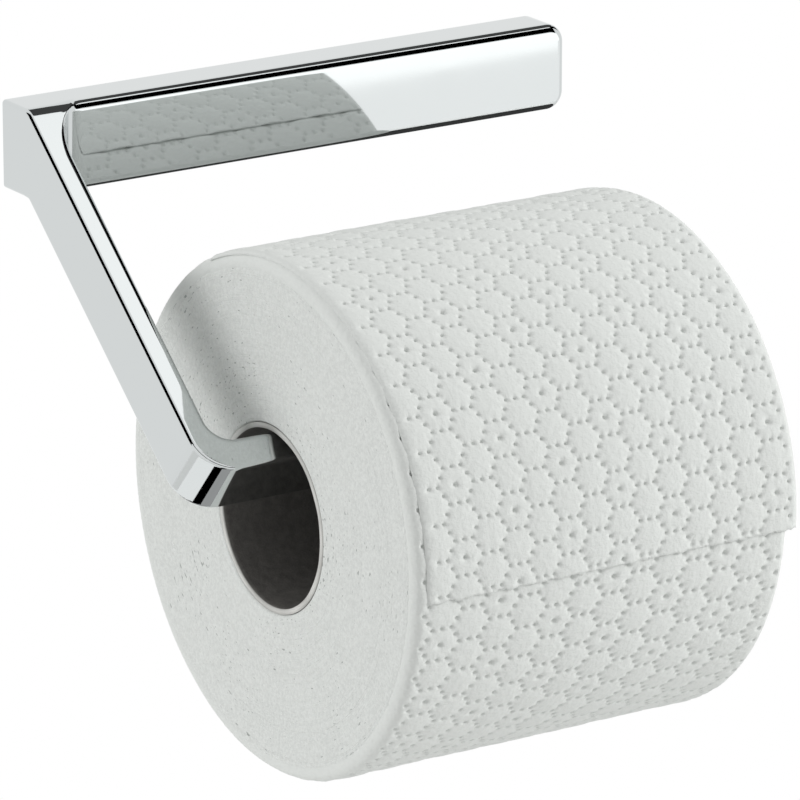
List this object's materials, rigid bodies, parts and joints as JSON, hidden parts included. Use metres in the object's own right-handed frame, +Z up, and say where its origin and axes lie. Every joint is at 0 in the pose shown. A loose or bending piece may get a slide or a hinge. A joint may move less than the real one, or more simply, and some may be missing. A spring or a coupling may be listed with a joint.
{
  "type": "toilet paper holder",
  "caption": "Wall-mounted toilet paper holder: slim chrome rail, sloping arm and open bar, with a paper roll that turns and slides off.",
  "frame": {"origin": "centre of the rail's flat face against the wall", "axes": "+X along the rail to the viewer's right, +Y into the wall, +Z up"},
  "size_m": [0.147, 0.1426, 0.1411],
  "materials": {
    "chrome_plate": "polished",
    "zinc_bracket": "die-cast",
    "plastic_bush": "moulded",
    "steel_screw": "turned",
    "cardboard": "fibrous",
    "tissue_edge": "soft",
    "embossed_tissue": "embossed"
  },
  "bodies": {
    "holder": {"holder_casting": "chrome_plate", "bracket_left": "zinc_bracket", "bracket_right": "zinc_bracket", "bush_left": "plastic_bush", "bush_right": "plastic_bush", "grub_screw_left": "steel_screw", "grub_screw_right": "steel_screw"},
    "core": {"cardboard_core": "cardboard"},
    "paper": {"paper_winding": "tissue_edge", "outer_turn": "embossed_tissue", "loose_sheet": "embossed_tissue"}
  },
  "joints": [
    {"name": "roll_slide", "type": "slide", "parent": "holder", "child": "core", "axis": [1, 0, 0], "range_m": [-0.007, 0.125]},
    {"name": "roll_spin", "type": "hinge", "parent": "core", "child": "paper", "pos_m": [0, -0.08208, -0.07065], "axis": [1, 0, 0], "continuous": true}
  ]
}
